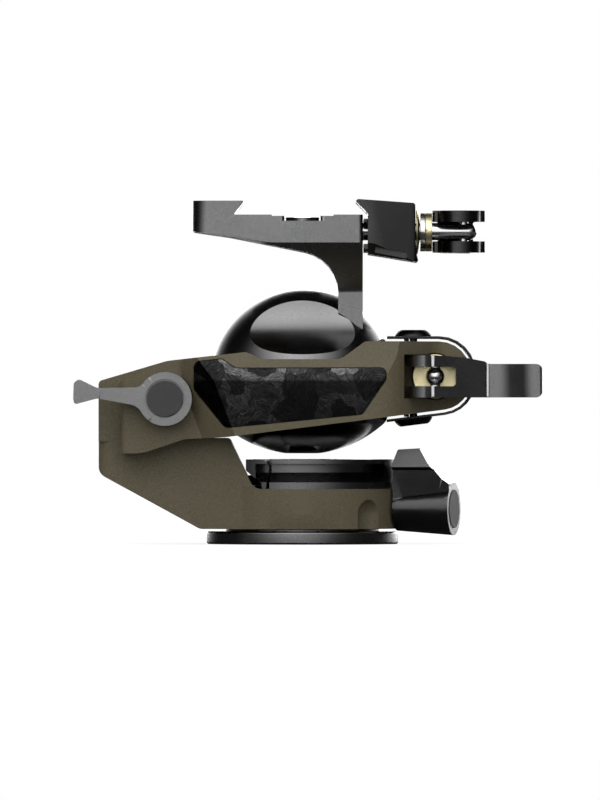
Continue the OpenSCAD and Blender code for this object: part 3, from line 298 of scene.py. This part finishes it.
# Chopped carbon: each chip has its own grey and its own direction of fibres, in cycles per metre
CARBON, CHIPS, WAVES, FIBRES, WAVINESS, FIBRE_LENGTH = (0.02, 0.02, 0.02), 150, 140, 420, 0.007, 14
CHIP_CONTRAST, CHIP_LEAST, CARBON_LIGHT, RESIN = 2.2, 0.10, 0.075, 0.004
FIBRE_BAND, FIBRE_LEAST = (0.42, 0.72), 0.12
forged_carbon, tree, shader = surface("forged_carbon", CARBON, metallic=1.0, roughness=0.34)
coordinates = add(tree, "ShaderNodeTexCoord")
wave = add(tree, "ShaderNodeTexNoise", inputs={"Scale": WAVES, "Detail": 4})
wire(tree, coordinates, wave, "Object", "Vector")
bent = add(tree, "ShaderNodeMix", data_type="VECTOR", inputs={"Factor": WAVINESS})
wire(tree, coordinates, bent, "Object", "A")
wire(tree, wave, bent, "Color", "B")
chips = add(tree, "ShaderNodeTexVoronoi", inputs={"Scale": CHIPS, "Randomness": 1})
wire(tree, bent, chips, "Result", "Vector")
chip_parts = add(tree, "ShaderNodeSeparateXYZ")
wire(tree, chips, chip_parts, "Color", 0)
lay = add(tree, "ShaderNodeVectorRotate", rotation_type="Y_AXIS")
wire(tree, bent, lay, "Result", "Vector")
wire(tree, maths(tree, "MULTIPLY", chip_parts, math.pi, "X"), lay, 0, "Angle")
along = add(tree, "ShaderNodeMapping", inputs={"Scale": (1, 1, FIBRE_LENGTH)})
wire(tree, lay, along)
fibres = add(tree, "ShaderNodeTexNoise", inputs={"Scale": FIBRES, "Detail": 5, "Roughness": 0.7})
wire(tree, along, fibres, 0, "Vector")
fibre_tone = span(tree, fibres, *FIBRE_BAND, FIBRE_LEAST, 1.0)
chip_tone = maths(tree, "POWER", chip_parts, CHIP_CONTRAST, "Y")
fibre_in_chip = maths(tree, "MULTIPLY", fibre_tone, maths(tree, "ADD", chip_tone, CHIP_LEAST))
tone = maths(tree, "MULTIPLY", fibre_in_chip, CARBON_LIGHT)
# Painted light: the plate is made lighter towards its top, where its upper facet catches more light, from
# this height on, in metres
height = add(tree, "ShaderNodeSeparateXYZ")
wire(tree, coordinates, height, "Object", 0)
TOP_STARTS, TOP_FULL, TOP_PAINTED_LIGHT = 0.0490, 0.0500, 5.0
lighter = span(tree, height, TOP_STARTS, TOP_FULL, 1.0, TOP_PAINTED_LIGHT, "Z")
tone = maths(tree, "MULTIPLY", tone, lighter)
wire(tree, maths(tree, "ADD", tone, RESIN), shader, 0, "Base Color")
patchy(tree, shader, scale=400, low=0.28, high=0.42)

dress(["base_arm", "rear_column", "socket_ring"], olive_coat, edge=0.0002)
dress(["near_inlay", "far_inlay"], forged_carbon, edge=0.0001)

# Pan clamp
# A black anodised housing over the spindle nut, with its screws, the bushing in the arm, and the lock:
# a screw with its lever that pushes a brass shoe on the spindle.
acetal, tree, shader = surface("acetal", (0.7, 0.68, 0.6), metallic=0.0, roughness=0.4)
grain(tree, shader, scale=2500, depth=0.00001)
black_lever = anodised("black_lever", grey=0.1, low=0.2, high=0.27)
CAP_GREY = (0.13, 0.13, 0.132)
grey_cap, tree, shader = surface("grey_cap", CAP_GREY, metallic=0.0, roughness=0.6, specular=0.2)
tint(tree, shader, grain(tree, shader, scale=6000, depth=0.00002), CAP_GREY, 0.8, 1.2)

# Painted shade: the dish under the ball is darker than this studio leaves it, so its colour is darkened
# within this distance from the pan axis, in metres
DISH_R, RIM_R, DISH_PAINTED_SHADE = 0.0247, 0.0253, 0.15
house_black = anodised("house_black", grey=0.205, low=0.22, high=0.29)
tree = house_black.node_tree
from_axis = add(tree, "ShaderNodeVectorMath", operation="LENGTH")
flat = add(tree, "ShaderNodeMapping", inputs={"Scale": (1, 1, 0)})
wire(tree, add(tree, "ShaderNodeTexCoord"), flat, "Object", 0)
wire(tree, flat, from_axis)
painted_dish_shade = span(tree, from_axis, DISH_R, RIM_R, DISH_PAINTED_SHADE, 1.0, "Value")
paint_shade(tree, tree.nodes["Principled BSDF"], painted_dish_shade)
dress(["pan_housing"], house_black)
dress(["pan_lock_lever"], black_lever, edge=0.0002)
dress(["housing_screws", "pan_lock_screw"], bright_steel)
dress(["brake_shoe"], bright_brass)
dress(["pan_bushing"], acetal)
dress(["pan_lock_cap"], grey_cap)

# Socket
# A slit acetal liner that the ball turns in. It sits in the casting's ring, and a threaded black ring holds
# it from below.
dark_acetal, tree, shader = surface("dark_acetal", (0.03, 0.03, 0.03), metallic=0.0, roughness=0.4)
grain(tree, shader, scale=2500, depth=0.00001)
dress(["socket_liner"], dark_acetal)
dress(["liner_retainer"], black_anodised)

# Ball
# A hollow aluminium ball, turned, scooped on both shoulders and anodised black, with a flatter cap below
# on a steel centre bolt.
ball_black = anodised("ball_black", grey=0.205, low=0.17, high=0.24)
dress(["ball", "ball_cap"], ball_black, edge=0.0002)
dress(["ball_bolt"], bright_steel)

# Clamp
# The plate, its fixed jaw and the neck are one milled piece; the moving jaw slides on two guide pins and
# a stud. The bubble level lies in the deck.
level_fluid, tree, shader = surface("level_fluid", (0.45, 0.62, 0.08), metallic=0.0, roughness=0.08, coat=1.0)
patchy(tree, shader, scale=200, low=0.05, high=0.12)
# The moving jaw and its lever are darker in the photograph than the plate
clamp_black = anodised("clamp_black", grey=0.25, low=0.22, high=0.29)
jaw_black = anodised("jaw_black", grey=0.075, low=0.22, high=0.29)
dress(["clamp_neck"], clamp_black, edge=0.0002)
dress(["moving_jaw"], jaw_black, edge=0.0002)
dress(["neck_screws", "guide_pins", "jaw_springs"], bright_steel)
dress(["clamp_stud", "jaw_steel_washer", "clamp_lever_pin"], bright_steel)
dress(["jaw_dish_washer", "jaw_cam_washer"], bright_brass)
dress(["bubble_level"], level_fluid)
dress(["bubble_ring"], black_anodised)
dress(["clamp_lever"], jaw_black, edge=0.0002)

# Ring lock
# A steel stud across the tongue, with a nut behind, a dished and a plain brass washer and the forked cam
# lever in front.
dress(["ring_stud", "ring_stud_nut", "ring_lever_pin"], bright_steel)
dress(["ring_dish_washer", "ring_cam_washer"], bright_brass)
dress(["ring_lever"], black_anodised, edge=0.0002)

# Painted glints: bright steel strips stand for the white glints on the lever's ridge and where its paddle
# starts: from, to, low, high and how far the face is in front of the pan axis, in metres
PAINTED_GLINTS = ((0.03879, 0.03970, 0.05360, 0.05690, 0.03384), (0.03879, 0.03970, 0.04450, 0.04790, 0.03384),
         (0.05500, 0.05618, 0.04450, 0.05480, 0.02500))
PAINTED_GLINT_T, PAINTED_GLINT_EDGE = 0.0009, 0.00012
painted_glint_steel = bright("painted_glint_steel", (0.9, 0.9, 0.9), low=0.3, high=0.36)
painted_glint_shapes = bmesh.new()
for x0, x1, z0, z1, reach in PAINTED_GLINTS:
    made = bmesh.ops.create_cube(painted_glint_shapes, size=1)
    bmesh.ops.scale(painted_glint_shapes, vec=(x1 - x0, PAINTED_GLINT_T, z1 - z0), verts=made["verts"])
    bmesh.ops.translate(painted_glint_shapes, vec=((x0 + x1) / 2, PAINTED_GLINT_T / 2 - reach, (z0 + z1) / 2), verts=made["verts"])
bmesh.ops.bevel(painted_glint_shapes, geom=painted_glint_shapes.edges[:], offset=PAINTED_GLINT_EDGE, affect="EDGES", segments=3, profile=0.5,
                material=-1)
painted_glints_mesh = bpy.data.meshes.new("ring_lever_painted_glints")
painted_glint_shapes.to_mesh(painted_glints_mesh)
painted_glint_shapes.free()
painted_glints_mesh.materials.append(painted_glint_steel)
ring_lever_painted_glints = bpy.data.objects.new("ring_lever_painted_glints", painted_glints_mesh)
scene.collection.objects.link(ring_lever_painted_glints)
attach(ring_lever_painted_glints, "ring_lock")

# Friction lever
# A grey machined lever on a steel bolt that runs through both cheeks of the casting to a black nut on the
# far side, with a dark cap in the lever's hub.
grey_metal = anodised("grey_metal", grey=0.29, low=0.3, high=0.38)
dark_cap = anodised("dark_cap", grey=0.085, low=0.3, high=0.38)
dress(["drag_lever"], grey_metal, edge=0.0002)
dress(["drag_bolt", "drag_washer"], bright_steel)
dress(["drag_nut"], black_anodised)
dress(["drag_cap"], dark_cap)

# Strap
# A strip of blackened spring steel that is bent round the tongue. Four button screws of the same black fix
# it, two above and two below, and steel spacers hold it off.
black_steel = anodised("black_steel", grey=0.04, low=0.2, high=0.3)
dress(["split_strap"], black_steel, edge=0.0001)
dress(["strap_screws"], black_steel)
dress(["strap_spacers"], bright_steel)
